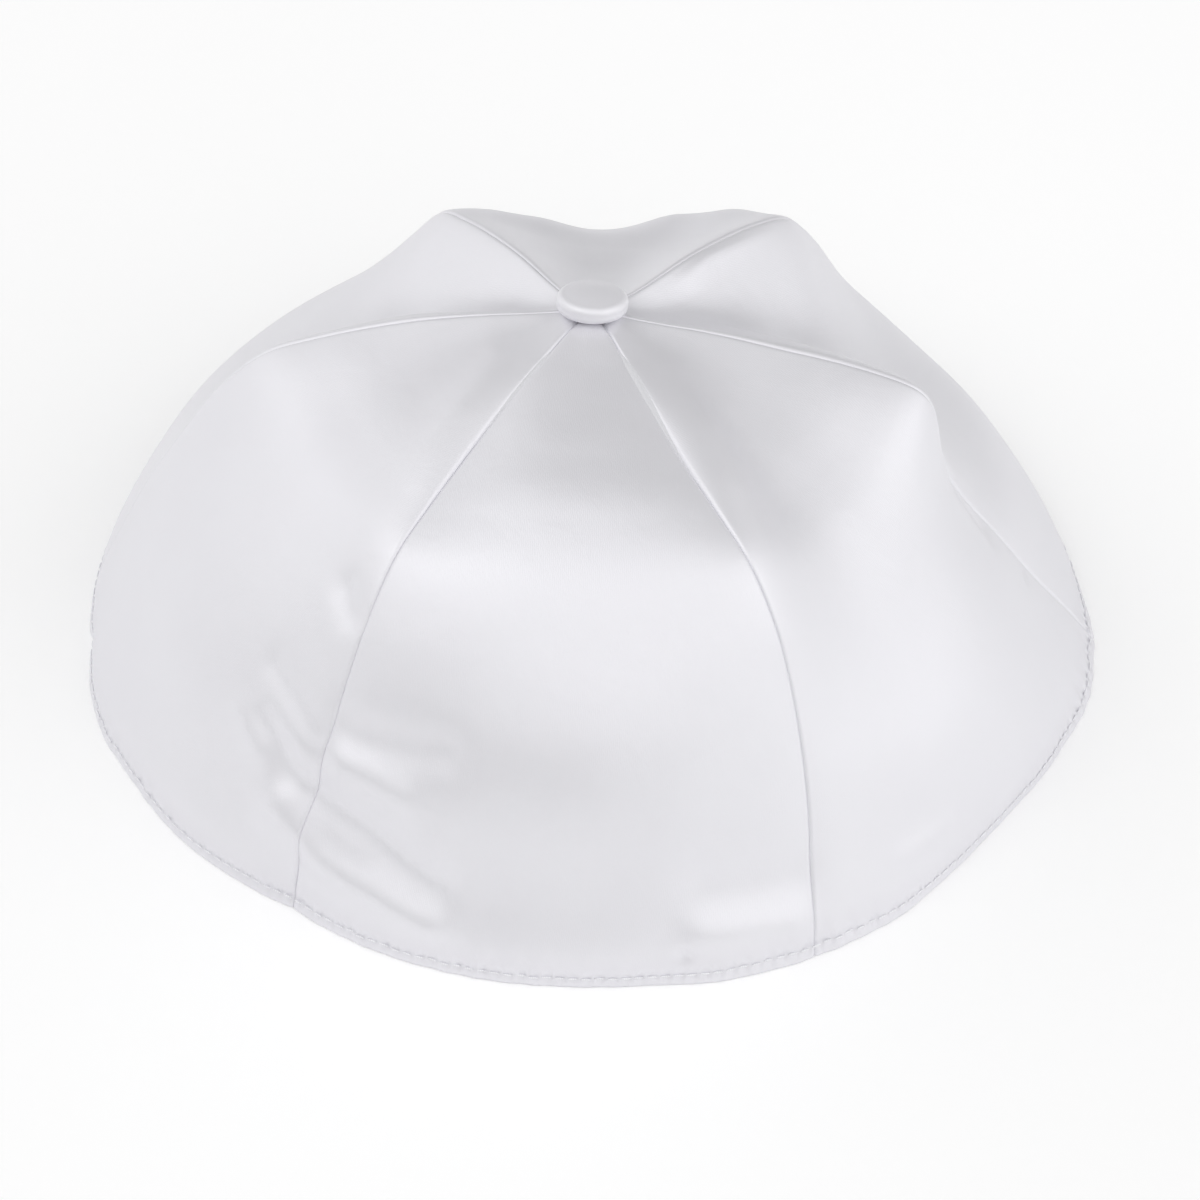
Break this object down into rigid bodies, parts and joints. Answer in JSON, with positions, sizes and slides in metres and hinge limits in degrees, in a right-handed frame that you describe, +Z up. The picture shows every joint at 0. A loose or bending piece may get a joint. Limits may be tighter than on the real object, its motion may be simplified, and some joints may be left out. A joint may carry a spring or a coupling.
{
  "type": "kippah skullcap",
  "caption": "Shallow round skullcap of sewn satin gores with raised seams, a stitched rim and a covered button at the crown.",
  "frame": {"origin": "centre of the rim's box, in the plane of the rim that the cap rests on", "axes": "+Z up through the crown, +X to the viewer's right, and the front of the picture faces -Y"},
  "size_m": [0.1704, 0.1694, 0.0726],
  "materials": {
    "satin": "white satin with a soft broad sheen",
    "button_satin": "white satin stretched over a button"
  },
  "bodies": {
    "root": {"panel_front": "satin", "panel_front_left": "satin", "panel_front_right": "satin", "panel_back_left": "satin", "panel_back_right": "satin", "panel_back": "satin", "button": "button_satin"}
  },
  "joints": []
}
